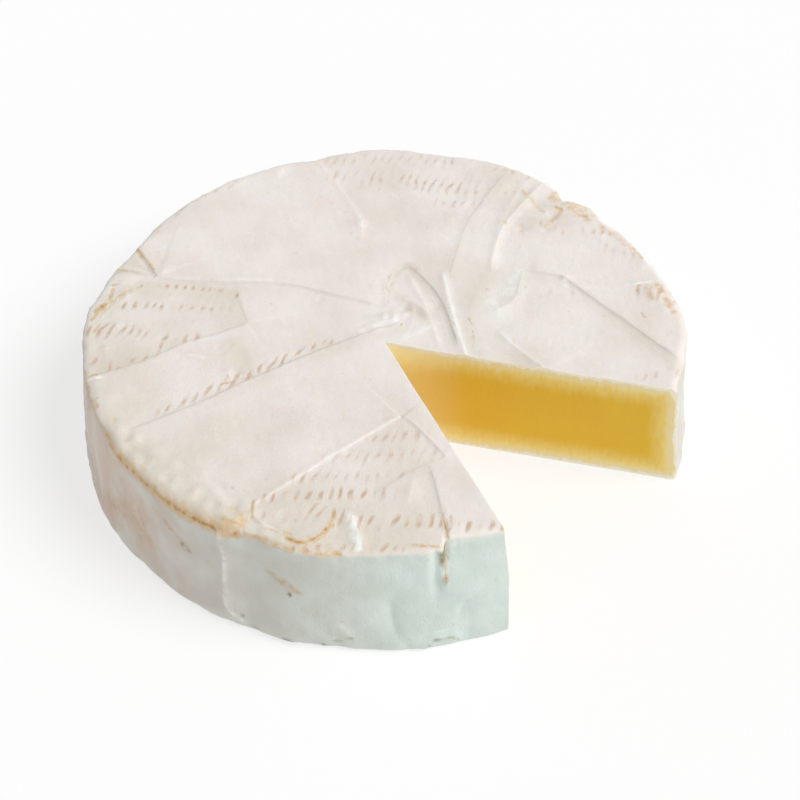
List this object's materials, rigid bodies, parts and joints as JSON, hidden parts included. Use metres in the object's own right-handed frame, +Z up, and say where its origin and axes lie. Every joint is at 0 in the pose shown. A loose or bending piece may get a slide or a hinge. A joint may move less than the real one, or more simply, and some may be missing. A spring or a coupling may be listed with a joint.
{
  "type": "brie wheel",
  "caption": "Round soft cheese wheel with a folded white rind, a wedge cut out of it and yellow paste on the cut faces.",
  "frame": {"origin": "middle of the wheel's box on the surface that it rests on", "axes": "+Z up through the flat face, +Y to the back and +X to the right as the picture shows it"},
  "size_m": [0.1416, 0.141, 0.0304],
  "materials": {
    "rind": "soft white mould rind with tan streaks in its creases; the cut faces are smooth golden paste"
  },
  "bodies": {
    "root": {"brie_wheel": "rind"}
  },
  "joints": []
}
